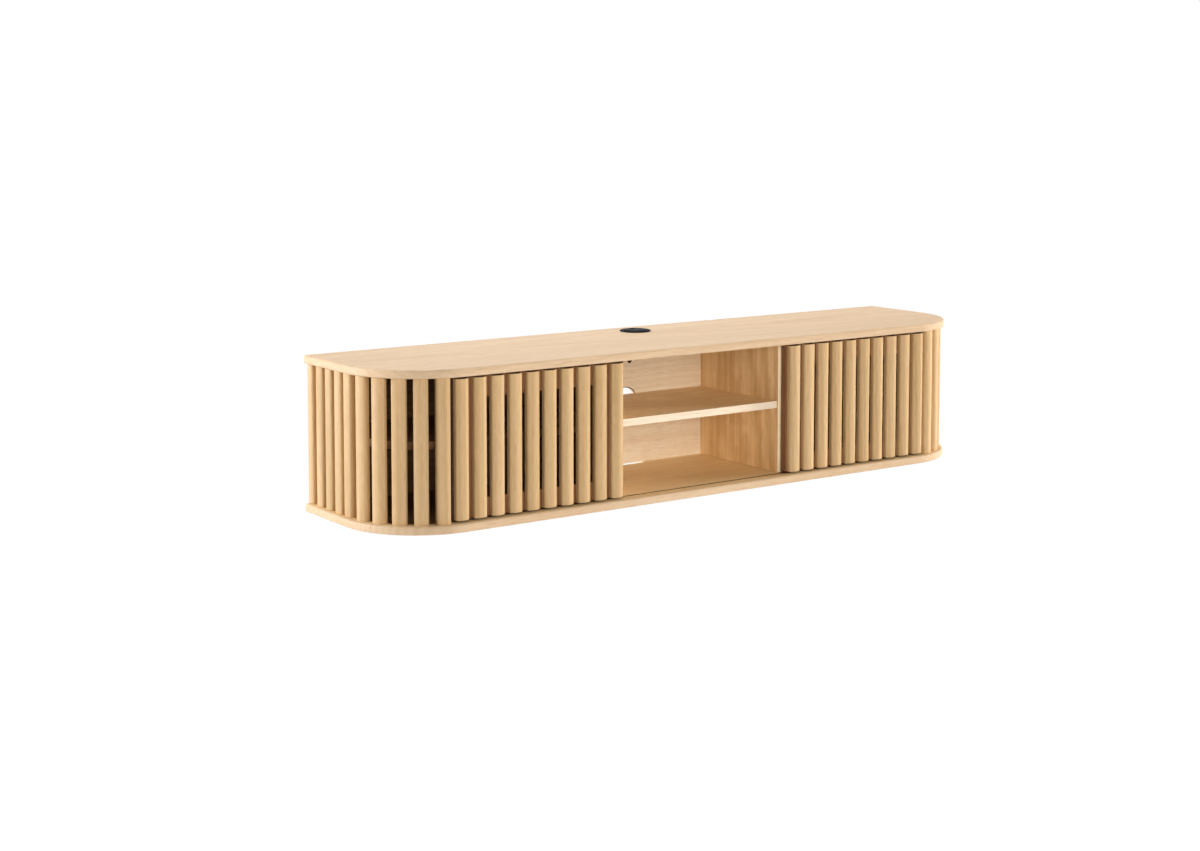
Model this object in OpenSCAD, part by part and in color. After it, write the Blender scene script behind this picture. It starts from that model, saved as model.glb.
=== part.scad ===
// Wall-hung media console: a D-shaped top and bottom joined by uprights, an open middle bay,
// slatted rounded ends, and two slatted doors that slide in one groove towards the middle.
// X runs along the console, +Y points into the wall and +Z is up. The origin lies on the wall,
// in the middle of the line of wall screws. Heights below are given above the console's underside.

/* [Console] */
// Width of the top and bottom panels
console_w = 1600.2; // [1500:0.1:1800]
// Depth from the wall to the front edge
console_d = 355.6; // [340:0.1:420]
// Height over the top and bottom panels
console_h = 330.2; // [310:0.1:420]
// Plan radius of the two front corners
corner_r = 178; // [160:1:190]
// Thickness of the top and bottom panels
panel_t = 18; // [16:0.5:25]
// Rounding on the edges of the top and bottom panels
edge_r = 4.5; // [1:0.5:7]

/* [Carcass] */
// Thickness of the side panels and dividers
upright_t = 15; // [14:0.5:20]
// Thickness of the back panel
back_t = 12; // [9:0.5:15]
// Space between the back panel and the wall
wall_gap = 19.5; // [19:0.5:30]
// How far the dividers stay behind the door frames
divider_setback = 3.6; // [2:0.1:12]
// How far a divider shows inside the edge of the closed door
divider_reveal = 6.5; // [2:0.5:12]
// How far the side panels run past the start of the rounded corner
side_panel_past = 12; // [0:1:14]

/* [Shelves] */
// Thickness of the shelves
shelf_t = 16; // [12:0.5:20]
// Clear height of the lower bays
lower_bay_h = 146.5; // [120:0.5:160]
// How far the shelves stay behind the dividers' front edges
shelf_setback = 3.5; // [1:0.5:20]
// Rounded front corner of the end shelves
shelf_corner_r = 132; // [110:1:136]
// Gap between a shelf and the uprights beside it
shelf_gap = 0.5; // [0.2:0.1:1]

/* [Slats] */
// Width of a slat
slat_w = 30; // [26:0.5:32]
// Depth of a slat from its glued face to its front
slat_d = 16; // [15:0.5:18]
// Rounding of a slat's two shoulders
slat_shoulder_r = 6; // [4:0.5:8]
// Radius of a slat's bowed front
slat_front_r = 26; // [24:1:40]
// Spacing of the slats on the doors and round the corners
slat_pitch = 42.15; // [39:0.05:43]
// Spacing of the slats on the flat ends
end_slat_pitch = 40.2; // [38:0.1:43]
// Distance from the wall to the middle of the first end slat
end_slat_start = 44; // [40:0.5:50]
// Width of the strip that closes the slatted end against the wall
end_strip_w = 16; // [10:0.5:20]
// How far the slats' fronts stay behind the panels' edge
slat_inset = 8; // [6:0.5:12]
// Angle of the first corner slat, from the front
corner_slat_start = 15; // [14.5:0.5:16]

/* [Doors] */
// Number of slats on each door
door_slat_count = 10; // [9:1:10]
// How far the middle of the outermost door slat lies past the start of the corner
door_reach = 2.3; // [0:0.1:3]
// Thickness of a door frame
frame_t = 15; // [12:0.5:16]
// Width of a door frame beyond its outer slats
frame_margin = 3.6; // [2:0.1:5]
// Width of the door stiles
stile_w = 70; // [66:0.5:72]
// Width of the lower door rail
bottom_rail_w = 39.5; // [30:0.5:50]
// Width of the upper door rail
top_rail_w = 45; // [30:0.5:55]
// Gap under and over a door frame
door_gap = 2.5; // [2:0.1:4]
// How far the door slats stop short of the frame's ends
slat_short = 2; // [0:0.5:5]
// Width of the door grooves
groove_w = 6; // [5:0.5:8]
// Depth of the door grooves
groove_d = 8; // [6:0.5:9]
// Length of a door glide
glide_l = 40; // [24:1:60]

/* [Cable ways] */
// Radius of the cable hole in the back panel
cable_hole_r = 30; // [25:0.5:32]
// Width of the cable notch in the bottom panel
notch_w = 100; // [80:1:110]
// Depth of the cable notch, from the wall
notch_d = 42; // [40:0.5:60]
// Radius of the grommet's flange
flange_r = 35; // [32:0.5:40]
// Radius of the grommet's sleeve
sleeve_r = 30; // [26:0.5:31]
// Distance from the wall to the grommet's middle
grommet_y = 70; // [68:0.5:90]
// Height of the grommet's flange above the top
flange_h = 3; // [2:0.5:4]

/* [Wall hanging] */
// Height of the cabinet cleat, from the top panel down to its bevel's tip at the wall
cabinet_cleat_h = 82.2; // [75:0.1:85]
// Height of the wall cleat on its wall side
wall_cleat_h = 30; // [26:0.5:32]
// Distance from a side panel to the end of the cabinet cleat
cabinet_cleat_gap = 111.1; // [60:0.1:150]
// How far the cabinet cleat runs past the wall cleat at each end
cleat_past = 20; // [0:1:40]
// Spacing of the inner wall screws, as the studs in the wall
stud_pitch = 406.4; // [400:0.1:409]
// Distance of the outer wall screws from the ends of the wall cleat
wall_screw_end = 20.4; // [15:0.1:60]
// Radius of the wall screw holes
wall_hole_r = 3.5; // [2.5:0.1:4]
// Height of the lower battens that keep the console plumb
batten_h = 40; // [30:1:60]
// Distance from a side panel to the end of the batten beside it
batten_gap = 61; // [5:1:200]

/* [Hidden] */
door_slats = [for (i = [1:door_slat_count]) i];
corner_pitch_r = corner_r - slat_inset - slat_d;
corner_step = slat_pitch / corner_pitch_r * 180 / PI;
corner_slats = [for (i = [1:floor((90 - corner_slat_start) / corner_step) + 1]) i];
$fn = 96;

// Colours
top_oak = [0.88, 0.77, 0.63];
oak = [0.82, 0.68, 0.49];
inner_oak = [0.78, 0.62, 0.42];
slat_oak = [0.84, 0.70, 0.51];
frame_oak = [0.62, 0.46, 0.30];
black = [0.10, 0.10, 0.11];
nylon = [0.85, 0.85, 0.82];
steel = [0.62, 0.63, 0.65];
pine = [0.83, 0.70, 0.50];

// Overrun of the cuts, lap of the panels' rims and clearances of the small fittings
over = 1;
rim_lap = 6;
fit_gap = 0.1;
run_gap = 0.3;

// Heights, above the console's underside
floor_h = panel_t;
ceiling_h = console_h - panel_t;
bay_h = ceiling_h - floor_h;
shelf_h = floor_h + lower_bay_h;
upper_floor_h = shelf_h + shelf_t;
frame_low_h = floor_h + door_gap;
frame_high_h = ceiling_h - door_gap;
window_low_h = frame_low_h + bottom_rail_w;
window_high_h = frame_high_h - top_rail_w;
cleat_joint_h = ceiling_h - cabinet_cleat_h;
wall_cleat_low_h = cleat_joint_h - wall_cleat_h;
wall_screw_h = (wall_cleat_low_h + cleat_joint_h) / 2;

// Distances from the wall
corner_y = console_d - corner_r;
slat_back_y = console_d - slat_inset - slat_d;
frame_back_y = slat_back_y - frame_t;
groove_y = slat_back_y - frame_t / 2;
back_face_y = wall_gap + back_t;
divider_front_y = frame_back_y - divider_setback;
shelf_front_y = divider_front_y - shelf_setback;
side_panel_y = corner_y + side_panel_past;

// Distances from the middle plane
corner_x = console_w / 2 - corner_r;
end_face_x = console_w / 2 - slat_inset - slat_d;
end_inner_x = end_face_x - upright_t;
door_first_x = corner_x + door_reach;
door_last_x = door_first_x - (door_slat_count - 1) * slat_pitch;
frame_outer_x = door_first_x + slat_w / 2 + frame_margin;
frame_inner_x = door_last_x - slat_w / 2 - frame_margin;
divider_in_x = frame_inner_x - divider_reveal;
divider_out_x = divider_in_x + upright_t;
divider_mid_x = divider_in_x + upright_t / 2;

// Slat section: flat flanks, rounded shoulders and a bowed front. The shoulders stand proud of
// the flanks and the front by a hair, so that the curves cross there at a slight angle.
slat_hair = 0.02;
shoulder_x = slat_w / 2 - slat_shoulder_r;
front_centre_y = slat_d - slat_front_r;
shoulder_rise = sqrt(pow(slat_front_r - slat_shoulder_r, 2) - pow(shoulder_x, 2));
shoulder_y = front_centre_y + shoulder_rise + slat_hair;
front_half_w = shoulder_x * slat_front_r / (slat_front_r - slat_shoulder_r);

// Door glides and guides
glide_w = frame_t - 2;
tongue_w = groove_w - 2 * (run_gap + fit_gap);
glide_plate_t = door_gap - run_gap;
glide_inset = 45;
glide_places = [frame_inner_x + glide_inset, frame_outer_x - glide_inset];
groove_past = 3;
groove_half_l = frame_outer_x + groove_past;

// Grommet
ledge_r = sleeve_r - 4.5;
cap_seat_r = sleeve_r - 2;
cap_r = cap_seat_r - run_gap;
cap_proud = 1.2;
cap_round = 1.2;
cap_seat_d = 3;
cap_t = cap_seat_d + cap_proud;
sleeve_past = 4;
flange_round = 1.5;
cap_notch_w = 16;
cap_notch_l = 14;

// Shelf pins
pin_r = 2.5;
pin_l = 8;
tongue_l = 8;
pin_tongue_w = 9;
centre_pin_in = 40;
end_pin_back = 64;
end_pin_front = 24;
centre_pin_ys = [back_face_y + centre_pin_in, shelf_front_y - centre_pin_in];
end_pin_ys = [back_face_y + end_pin_back, side_panel_y - end_pin_front];

// Cam locks and their bolts
cam_r = 7.5;
cam_t = 12;
cam_edge = 24;
cam_slot_w = 2;
cam_slot_d = 1.5;
bolt_r = 3;
bolt_grip = 10;
cam_back = 30;
divider_cam_front = 50;
side_cam_front = 44;
divider_cam_ys = [back_face_y + cam_back, divider_front_y - divider_cam_front];
side_cam_ys = [back_face_y + cam_back, side_panel_y - side_cam_front];

// Hanging cleats and their screws
cleat_t = 18;
lip_gap = 1.5;
cabinet_cleat_x = end_inner_x - cabinet_cleat_gap;
wall_cleat_x = cabinet_cleat_x - cleat_past;
cleat_screw_drop = 55.2;
cleat_screw_h = ceiling_h - cleat_screw_drop;
cleat_screw_pair = 24;
cleat_screw_shares = [-0.92, -0.5, 0, 0.5, 0.92];
cleat_screw_xs = [for (p = cleat_screw_shares, s = [-0.5, 0.5])
    p * cabinet_cleat_x + s * cleat_screw_pair];
screw_r = 2;
screw_l = 25;
screw_head_r = 6;
screw_head_h = 3;
screw_crown_r = 4;
sink_r = 7;
sink_d = 3.5;
wall_screw_xs = [wall_screw_end - wall_cleat_x, -stud_pitch / 2, stud_pitch / 2,
    wall_cleat_x - wall_screw_end];
notch_gap = 10;
batten_start_x = notch_w / 2 + notch_gap;
batten_end_x = end_inner_x - batten_gap;

// Puts a piece drawn above the console's underside into the wall's frame
module lift() {
    translate([0, 0, -wall_screw_h]) children();
}

// Copies a piece drawn on the right to side s, 1 for right and -1 for left
module on_side(s) {
    mirror([s < 0 ? 1 : 0, 0, 0]) children();
}

// A box from its low corner to its high corner
module block(low, high) {
    translate(low) cube(high - low);
}

// A round bar along X, from x, with its axis at distance y from the wall and height h
module bar_x(x, y, h, r, l) {
    translate([x, -y, h]) rotate([0, 90, 0]) cylinder(r = r, h = l);
}

// Section of the panels' rim: both outer arrises rounded, x pointing outwards. It laps
// into the panel's core.
module rim_section() {
    difference() {
        translate([-rim_lap, 0]) square([rim_lap + edge_r, panel_t]);
        arris_waste();
        translate([0, panel_t]) mirror([0, 1]) arris_waste();
    }
}

module arris_waste() {
    difference() {
        translate([0, -over]) square([edge_r + over, edge_r + over]);
        translate([0, edge_r]) circle(edge_r);
    }
}

// A straight run of rim along the right side, of length l from the wall
module rim_run(l) {
    rotate([90, 0, 0]) linear_extrude(l) rim_section();
}

// Plan of a panel inside its rim
module panel_core_plan() {
    core_d = console_d - edge_r;
    core_half_w = console_w / 2 - edge_r;
    translate([-corner_x, -core_d]) square([2 * corner_x, core_d]);
    translate([-core_half_w, -corner_y]) square([2 * core_half_w, corner_y]);
    for (s = [-1, 1]) translate([s * corner_x, -corner_y]) intersection() {
        circle(corner_r - edge_r);
        translate([s < 0 ? -corner_r : 0, -corner_r]) square(corner_r);
    }
}

// A panel with square back corners, round front corners and softened edges
module round_ended_panel() {
    linear_extrude(panel_t) panel_core_plan();
    for (s = [-1, 1]) on_side(s) {
        translate([console_w / 2 - edge_r, 0, 0]) rim_run(corner_y);
        translate([corner_x, -corner_y, 0]) rotate([0, 0, -90])
            rotate_extrude(angle = 90) translate([corner_r - edge_r, 0]) rim_section();
    }
    translate([corner_x, edge_r - console_d, 0]) rotate([0, 0, -90]) rim_run(2 * corner_x);
}

// Waste of the door groove, from height 0 up to h
module groove_waste(h) {
    linear_extrude(h) {
        translate([-groove_half_l, -groove_y - groove_w / 2])
            square([2 * groove_half_l, groove_w]);
        for (s = [-1, 1]) translate([s * groove_half_l, -groove_y]) circle(groove_w / 2);
    }
}

// Places of all the cam locks: [x of the upright's middle, distance from the wall]
cam_places = concat(
    [for (y = divider_cam_ys) [divider_mid_x, y]],
    [for (y = side_cam_ys) [end_face_x - upright_t / 2, y]]);

// Holes for the cam bolts in the top or bottom panel, from height 0 up to h
module bolt_holes(h) {
    for (s = [-1, 1], p = cam_places)
        translate([s * p[0], -p[1], 0]) cylinder(r = bolt_r + fit_gap, h = h);
}

module top_panel() {
    color(top_oak) lift() translate([0, 0, ceiling_h]) difference() {
        round_ended_panel();
        translate([0, 0, -over]) groove_waste(groove_d + over);
        translate([0, 0, -over]) bolt_holes(bolt_grip + over);
        translate([0, -grommet_y, -over]) cylinder(r = sleeve_r + fit_gap, h = panel_t + 2 * over);
    }
}

module bottom_panel() {
    color(oak) lift() difference() {
        round_ended_panel();
        translate([0, 0, panel_t - groove_d]) groove_waste(groove_d + over);
        translate([0, 0, panel_t - bolt_grip]) bolt_holes(bolt_grip + over);
        block([-notch_w / 2, -notch_d, -over], [notch_w / 2, over, panel_t + over]);
    }
}

module back_panel() {
    color(oak) lift() difference() {
        block([-end_inner_x, -back_face_y, floor_h], [end_inner_x, -wall_gap, ceiling_h]);
        translate([0, -wall_gap + over, console_h / 2]) rotate([90, 0, 0])
            cylinder(r = cable_hole_r, h = back_t + 2 * over);
        for (x = cleat_screw_xs) translate([x, -wall_gap + over, cleat_screw_h])
            rotate([90, 0, 0]) cylinder(r = screw_r + fit_gap, h = back_t + 2 * over);
    }
}

// Pockets and bolt holes of the cam locks in an upright's edge ends. face_x is the
// face that the locks are set in, and way is 1 if that face looks to +X.
module cam_waste(mid_x, face_x, way, ys) {
    for (y = ys, top = [false, true]) {
        cam_h = top ? ceiling_h - cam_edge : floor_h + cam_edge;
        bar_x(way > 0 ? face_x - cam_t : face_x - over, y, cam_h, cam_r + fit_gap, cam_t + over);
        translate([mid_x, -y, top ? cam_h : floor_h - over])
            cylinder(r = bolt_r + fit_gap, h = cam_edge + over);
    }
}

// Holes for shelf pins in the face at face_x, drilled towards way
module pin_waste(face_x, way, ys) {
    for (y = ys)
        bar_x(way > 0 ? face_x - over : face_x - pin_l - fit_gap, y, shelf_h - pin_r,
              pin_r + fit_gap, pin_l + fit_gap + over);
}

module divider() {
    difference() {
        block([divider_in_x, -divider_front_y, floor_h], [divider_out_x, -back_face_y, ceiling_h]);
        cam_waste(divider_mid_x, divider_out_x, 1, divider_cam_ys);
        pin_waste(divider_in_x, 1, centre_pin_ys);
        pin_waste(divider_out_x, -1, end_pin_ys);
    }
}

module left_divider() {
    color(oak) lift() on_side(-1) divider();
}

module right_divider() {
    color(oak) lift() on_side(1) divider();
}

module side_panel() {
    difference() {
        block([end_inner_x, -side_panel_y, floor_h], [end_face_x, 0, ceiling_h]);
        cam_waste(end_face_x - upright_t / 2, end_inner_x, -1, side_cam_ys);
        pin_waste(end_inner_x, 1, end_pin_ys);
    }
}

module left_side_panel() {
    color(oak) lift() on_side(-1) side_panel();
}

module right_side_panel() {
    color(oak) lift() on_side(1) side_panel();
}

module centre_shelf() {
    half_w = divider_in_x - shelf_gap;
    color(oak) lift()
        block([-half_w, -shelf_front_y, shelf_h], [half_w, -back_face_y - shelf_gap, upper_floor_h]);
}

// End shelf, with its front corner rounded to follow the console's corner
module end_shelf() {
    low_x = divider_out_x + shelf_gap;
    high_x = end_inner_x - shelf_gap;
    arc_x = high_x - shelf_corner_r;
    arc_y = shelf_front_y - shelf_corner_r;
    translate([0, 0, shelf_h]) linear_extrude(shelf_t) {
        translate([low_x, -shelf_front_y])
            square([arc_x - low_x, shelf_front_y - back_face_y - shelf_gap]);
        translate([low_x, -arc_y]) square([high_x - low_x, arc_y - back_face_y - shelf_gap]);
        translate([arc_x, -arc_y]) intersection() {
            circle(shelf_corner_r);
            translate([0, -shelf_corner_r]) square(shelf_corner_r);
        }
    }
}

module left_shelf() {
    color(inner_oak) lift() on_side(-1) end_shelf();
}

module right_shelf() {
    color(inner_oak) lift() on_side(1) end_shelf();
}

// A shelf pin in the face at face_x: a round peg and a flat tongue under the shelf.
// way is 1 if the tongue points to +X.
module shelf_pin(face_x, way, y) {
    bar_x(way > 0 ? face_x - pin_l : face_x, y, shelf_h - pin_r, pin_r, pin_l);
    tongue_x = way > 0 ? face_x : face_x - tongue_l;
    block([tongue_x, -y - pin_tongue_w / 2, shelf_h - 2 * pin_r],
          [tongue_x + tongue_l, -y + pin_tongue_w / 2, shelf_h]);
}

module centre_shelf_pins() {
    color(steel) lift() for (s = [-1, 1], y = centre_pin_ys)
        on_side(s) shelf_pin(divider_in_x, -1, y);
}

module end_shelf_pins() {
    for (y = end_pin_ys) {
        shelf_pin(divider_out_x, 1, y);
        shelf_pin(end_inner_x, -1, y);
    }
}

module left_shelf_pins() {
    color(steel) lift() on_side(-1) end_shelf_pins();
}

module right_shelf_pins() {
    color(steel) lift() on_side(1) end_shelf_pins();
}

// A length of timber along X, from its section in [distance towards the wall, height]
module timber(from_x, to_x, section) {
    translate([from_x, 0, 0]) rotate([90, 0, 90]) linear_extrude(to_x - from_x) polygon(section);
}

// Upper cleat, fixed behind the back panel, with its bevelled hook pointing down
module cabinet_cleat() {
    color(pine) lift() difference() {
        timber(-cabinet_cleat_x, cabinet_cleat_x, [
            [-wall_gap, cleat_joint_h + wall_gap],
            [-lip_gap, cleat_joint_h + lip_gap],
            [-lip_gap, ceiling_h],
            [-wall_gap, ceiling_h]]);
        for (x = cleat_screw_xs) translate([x, -wall_gap - over, cleat_screw_h])
            rotate([-90, 0, 0])
                cylinder(r = screw_r + fit_gap, h = screw_l - back_t + fit_gap + over);
    }
}

// Lower cleat, screwed to the wall, that the upper one hooks over
module wall_cleat() {
    color(pine) lift() difference() {
        timber(-wall_cleat_x, wall_cleat_x, [
            [0, wall_cleat_low_h],
            [0, cleat_joint_h],
            [-cleat_t, cleat_joint_h + cleat_t],
            [-cleat_t, wall_cleat_low_h]]);
        for (x = wall_screw_xs) translate([x, 0, wall_screw_h])
            rotate([90, 0, 0]) {
                translate([0, 0, -over]) cylinder(r = wall_hole_r, h = cleat_t + 2 * over);
                translate([0, 0, cleat_t - sink_d])
                    cylinder(r1 = wall_hole_r, r2 = sink_r, h = sink_d);
            }
    }
}

module cleat_screws() {
    color(black) lift() for (x = cleat_screw_xs)
        translate([x, -back_face_y, cleat_screw_h]) rotate([-90, 0, 0]) {
            cylinder(r = screw_r, h = screw_l);
            translate([0, 0, -screw_head_h])
                cylinder(r1 = screw_crown_r, r2 = screw_head_r, h = screw_head_h);
        }
}

module wall_batten() {
    block([batten_start_x, -wall_gap, floor_h], [batten_end_x, 0, floor_h + batten_h]);
}

module left_wall_batten() {
    color(pine) lift() on_side(-1) wall_batten();
}

module right_wall_batten() {
    color(pine) lift() on_side(1) wall_batten();
}

// A cam lock with its face at height 0 and its body below, and a driver slot across the face
module cam_lock() {
    difference() {
        translate([0, 0, -cam_t]) cylinder(r = cam_r, h = cam_t);
        block([-cam_r + cam_slot_w, -cam_slot_w / 2, -cam_slot_d],
              [cam_r - cam_slot_w, cam_slot_w / 2, over]);
    }
}

module cam_locks() {
    color(steel) lift() for (s = [-1, 1], cam_h = [floor_h + cam_edge, ceiling_h - cam_edge])
        on_side(s) {
            for (y = divider_cam_ys)
                translate([divider_out_x, -y, cam_h]) rotate([0, 90, 0]) cam_lock();
            for (y = side_cam_ys)
                translate([end_inner_x, -y, cam_h]) rotate([0, -90, 0]) cam_lock();
        }
}

// Bolts from the cam locks into the top and bottom panels
module cam_bolts() {
    bolt_l = cam_edge - cam_r - run_gap + bolt_grip;
    color(steel) lift() for (s = [-1, 1], p = cam_places)
        for (low_h = [floor_h - bolt_grip, ceiling_h + bolt_grip - bolt_l])
            translate([s * p[0], -p[1], low_h]) cylinder(r = bolt_r, h = bolt_l);
}

// Half section of the grommet's sleeve: flange with a rounded rim, tube and inner ledge
module grommet_section() {
    seat_h = panel_t + flange_h - cap_seat_d;
    translate([ledge_r, -sleeve_past]) square([sleeve_r - ledge_r, sleeve_past + seat_h]);
    translate([cap_seat_r, 0]) square([sleeve_r - cap_seat_r, panel_t + flange_h]);
    translate([cap_seat_r, panel_t])
        square([flange_r - flange_round - cap_seat_r, flange_h]);
    translate([cap_seat_r, panel_t]) square([flange_r - cap_seat_r, flange_h - flange_round]);
    translate([flange_r - flange_round, panel_t + flange_h - flange_round]) circle(flange_round);
}

module grommet_sleeve() {
    color(black) lift() translate([0, -grommet_y, ceiling_h]) rotate_extrude() grommet_section();
}

// Half section of the turning cap, with its upper edge rounded
module cap_section() {
    square([cap_r - cap_round, cap_t]);
    square([cap_r, cap_t - cap_round]);
    translate([cap_r - cap_round, cap_t - cap_round]) circle(cap_round);
}

// Turning cap with a cable notch in its rim
module grommet_cap() {
    notch_y = cap_r - cap_notch_l;
    notch_h = cap_t + 2 * over;
    color(black) lift() translate([0, -grommet_y, console_h + flange_h - cap_seat_d]) difference() {
        rotate_extrude() cap_section();
        translate([-cap_notch_w / 2, notch_y, -over]) cube([cap_notch_w, cap_notch_l + over, notch_h]);
        translate([0, notch_y, -over]) cylinder(r = cap_notch_w / 2, h = notch_h);
    }
}

// Slat section, with its glued face on the x axis and its front towards +y
module slat_section() {
    flank_x = slat_w / 2 - slat_hair;
    translate([-flank_x, 0]) square([2 * flank_x, shoulder_y]);
    for (s = [-1, 1]) translate([s * shoulder_x, shoulder_y]) circle(slat_shoulder_r);
    intersection() {
        translate([0, front_centre_y]) circle(slat_front_r);
        translate([-front_half_w, shoulder_y / 2]) square([2 * front_half_w, slat_d]);
    }
}

// A slat glued at distance y from the wall. It faces the room, or turns towards +X by turn.
module slat(x, y, turn, low_h, high_h) {
    translate([x, -y, low_h]) rotate([0, 0, turn])
        linear_extrude(high_h - low_h) mirror([0, 1]) slat_section();
}

// Slats of a flat end, and the narrow strip that closes it against the wall
module end_slats() {
    last = floor((corner_y - end_slat_start) / end_slat_pitch);
    for (i = [0:last])
        slat(end_face_x, end_slat_start + i * end_slat_pitch, 90, floor_h, ceiling_h);
    intersection() {
        slat(end_face_x, end_strip_w - slat_w / 2, 90, floor_h, ceiling_h);
        block([end_face_x, -end_strip_w, floor_h], [end_face_x + slat_d, 0, ceiling_h]);
    }
}

module left_end_slats() {
    color(slat_oak) lift() on_side(-1) end_slats();
}

module right_end_slats() {
    color(slat_oak) lift() on_side(1) end_slats();
}

// Corner slat i, counted from the front, running from the bottom panel to the top panel
module corner_slat(i) {
    a = corner_slat_start + (i - 1) * corner_step;
    slat(corner_x + corner_pitch_r * sin(a), corner_y + corner_pitch_r * cos(a), a,
         floor_h, ceiling_h);
}

module left_corner_slat(i) {
    color(slat_oak) lift() on_side(-1) corner_slat(i);
}

module right_corner_slat(i) {
    color(slat_oak) lift() on_side(1) corner_slat(i);
}

// Door slat i, counted from the middle of the console
module door_slat(i) {
    slat(door_last_x + (i - 1) * slat_pitch, slat_back_y, 0,
         frame_low_h + slat_short, frame_high_h - slat_short);
}

module left_door_slat(i) {
    color(slat_oak) lift() on_side(-1) door_slat(i);
}

module right_door_slat(i) {
    color(slat_oak) lift() on_side(1) door_slat(i);
}

// Flat frame that carries a door's slats: two stiles, two rails and an open middle
module door_frame() {
    difference() {
        block([frame_inner_x, -slat_back_y, frame_low_h], [frame_outer_x, -frame_back_y, frame_high_h]);
        block([frame_inner_x + stile_w, -slat_back_y - over, window_low_h],
              [frame_outer_x - stile_w, -frame_back_y + over, window_high_h]);
    }
}

module left_door_frame() {
    color(frame_oak) lift() on_side(-1) door_frame();
}

module right_door_frame() {
    color(frame_oak) lift() on_side(1) door_frame();
}

// A glide that stands on height 0: a plate, and a tongue that reaches height reach
module glide(reach) {
    round_ended_bar(glide_l, glide_w, glide_plate_t);
    round_ended_bar(glide_l - glide_w, tongue_w, reach);
}

// A bar of length l, width w and height h with round ends
module round_ended_bar(l, w, h) {
    linear_extrude(h) {
        translate([w / 2 - l / 2, -w / 2]) square([l - w, w]);
        for (s = [-1, 1]) translate([s * (l - w) / 2, 0]) circle(w / 2);
    }
}

// Two glides that carry a door, and two guides that keep its top in the upper groove
module door_glides() {
    low_tongue = door_gap + groove_d;
    high_tongue = door_gap + groove_d / 2;
    for (x = glide_places) {
        translate([x, -groove_y, frame_low_h]) mirror([0, 0, 1]) glide(low_tongue);
        translate([x, -groove_y, frame_high_h]) glide(high_tongue);
    }
}

module left_door_glides() {
    color(nylon) lift() on_side(-1) door_glides();
}

module right_door_glides() {
    color(nylon) lift() on_side(1) door_glides();
}

top_panel();
bottom_panel();
back_panel();
left_side_panel();
right_side_panel();
left_divider();
right_divider();
centre_shelf();
left_shelf();
right_shelf();
centre_shelf_pins();
left_shelf_pins();
right_shelf_pins();
cabinet_cleat();
wall_cleat();
cleat_screws();
left_wall_batten();
right_wall_batten();
cam_locks();
cam_bolts();
grommet_sleeve();
grommet_cap();
left_end_slats();
right_end_slats();
left_door_frame();
right_door_frame();
left_door_glides();
right_door_glides();
for (i = corner_slats) {
    left_corner_slat(i);
    right_corner_slat(i);
}
for (i = door_slats) {
    left_door_slat(i);
    right_door_slat(i);
}
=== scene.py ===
"""Dresses the wall-hung slatted media console: eased oak panels, slats and doors, the cable
grommet, the hanging hardware and the studio that it is shown in."""

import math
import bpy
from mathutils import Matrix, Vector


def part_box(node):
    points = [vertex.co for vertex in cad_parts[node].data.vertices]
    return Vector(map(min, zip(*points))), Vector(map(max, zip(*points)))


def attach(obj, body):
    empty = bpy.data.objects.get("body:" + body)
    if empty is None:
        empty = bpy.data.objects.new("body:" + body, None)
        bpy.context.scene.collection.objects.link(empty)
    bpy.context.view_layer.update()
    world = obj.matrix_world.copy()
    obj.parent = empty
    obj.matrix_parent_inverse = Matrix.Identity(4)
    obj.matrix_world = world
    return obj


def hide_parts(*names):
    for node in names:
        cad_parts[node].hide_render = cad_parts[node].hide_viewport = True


bl_info = {
    "name": "Slatted Media Console",
    "version": (1, 0, 0),
    "blender": (4, 5, 0),
    "location": "3D View > Sidebar > Console",
    "description": "Finishes the slatted media console in oak and lights it in a white studio",
    "category": "Add Mesh",
}

from functools import cached_property

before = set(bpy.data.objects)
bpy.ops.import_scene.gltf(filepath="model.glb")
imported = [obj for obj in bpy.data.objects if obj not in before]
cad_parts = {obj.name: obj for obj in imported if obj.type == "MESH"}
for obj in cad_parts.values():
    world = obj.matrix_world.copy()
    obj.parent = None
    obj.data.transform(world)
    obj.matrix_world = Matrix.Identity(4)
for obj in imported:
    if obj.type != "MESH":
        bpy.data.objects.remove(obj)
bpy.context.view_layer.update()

import bpy
from bpy.props import FloatProperty, FloatVectorProperty, IntProperty, PointerProperty
from mathutils import Matrix, Vector

# Corners and levels that the frame gives, in metres
BOTTOM_LOW, BOTTOM_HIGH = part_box("bottom_panel")
TOP_LOW, TOP_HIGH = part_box("top_panel")
DOOR_LOW, DOOR_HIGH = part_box("right_door_frame")
FLOOR_Z = BOTTOM_HIGH.z
CEILING_Z = TOP_LOW.z
CONSOLE_X = TOP_HIGH.x
FRONT_Y = TOP_LOW.y
SIDE_FACE_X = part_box("right_side_panel")[1].x
DIVIDER_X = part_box("right_divider")[0].x
DOOR_Y = (DOOR_LOW.y + DOOR_HIGH.y) / 2
SIDES = {"left": -1, "right": 1}

# Sizes that the frame's boxes don't give, in metres
PANEL_RIM = 0.0045            # rounding of the panels' front and end edges
GROOVE_WIDTH = 0.006
GROOVE_DEPTH = 0.008
GROOVE_SPARE = 0.003          # how far the door groove runs on past a closed door
GROOVE_END = 0.98             # share of its half width that rounds each corner of an end
GROMMET_HOLE_R = 0.0301
CABLE_HOLE_R = 0.030
CABLE_HOLE_BEVEL = 0.0014
NOTCH_X = 0.050               # half the width of the cable notch
NOTCH_Y = -0.042              # its front edge
STILE = 0.070
BOTTOM_RAIL = 0.0395
TOP_RAIL = 0.045
FRAME_EASE = 0.0004
MOULDED_EASE = 0.0002
CLEAT_EASE = 0.0005
SCREW_EASE = 0.0003
STEEL_EASE = 0.0001
OVERCUT = 0.01                # how far a cutter stands out of the board that it cuts

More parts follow.
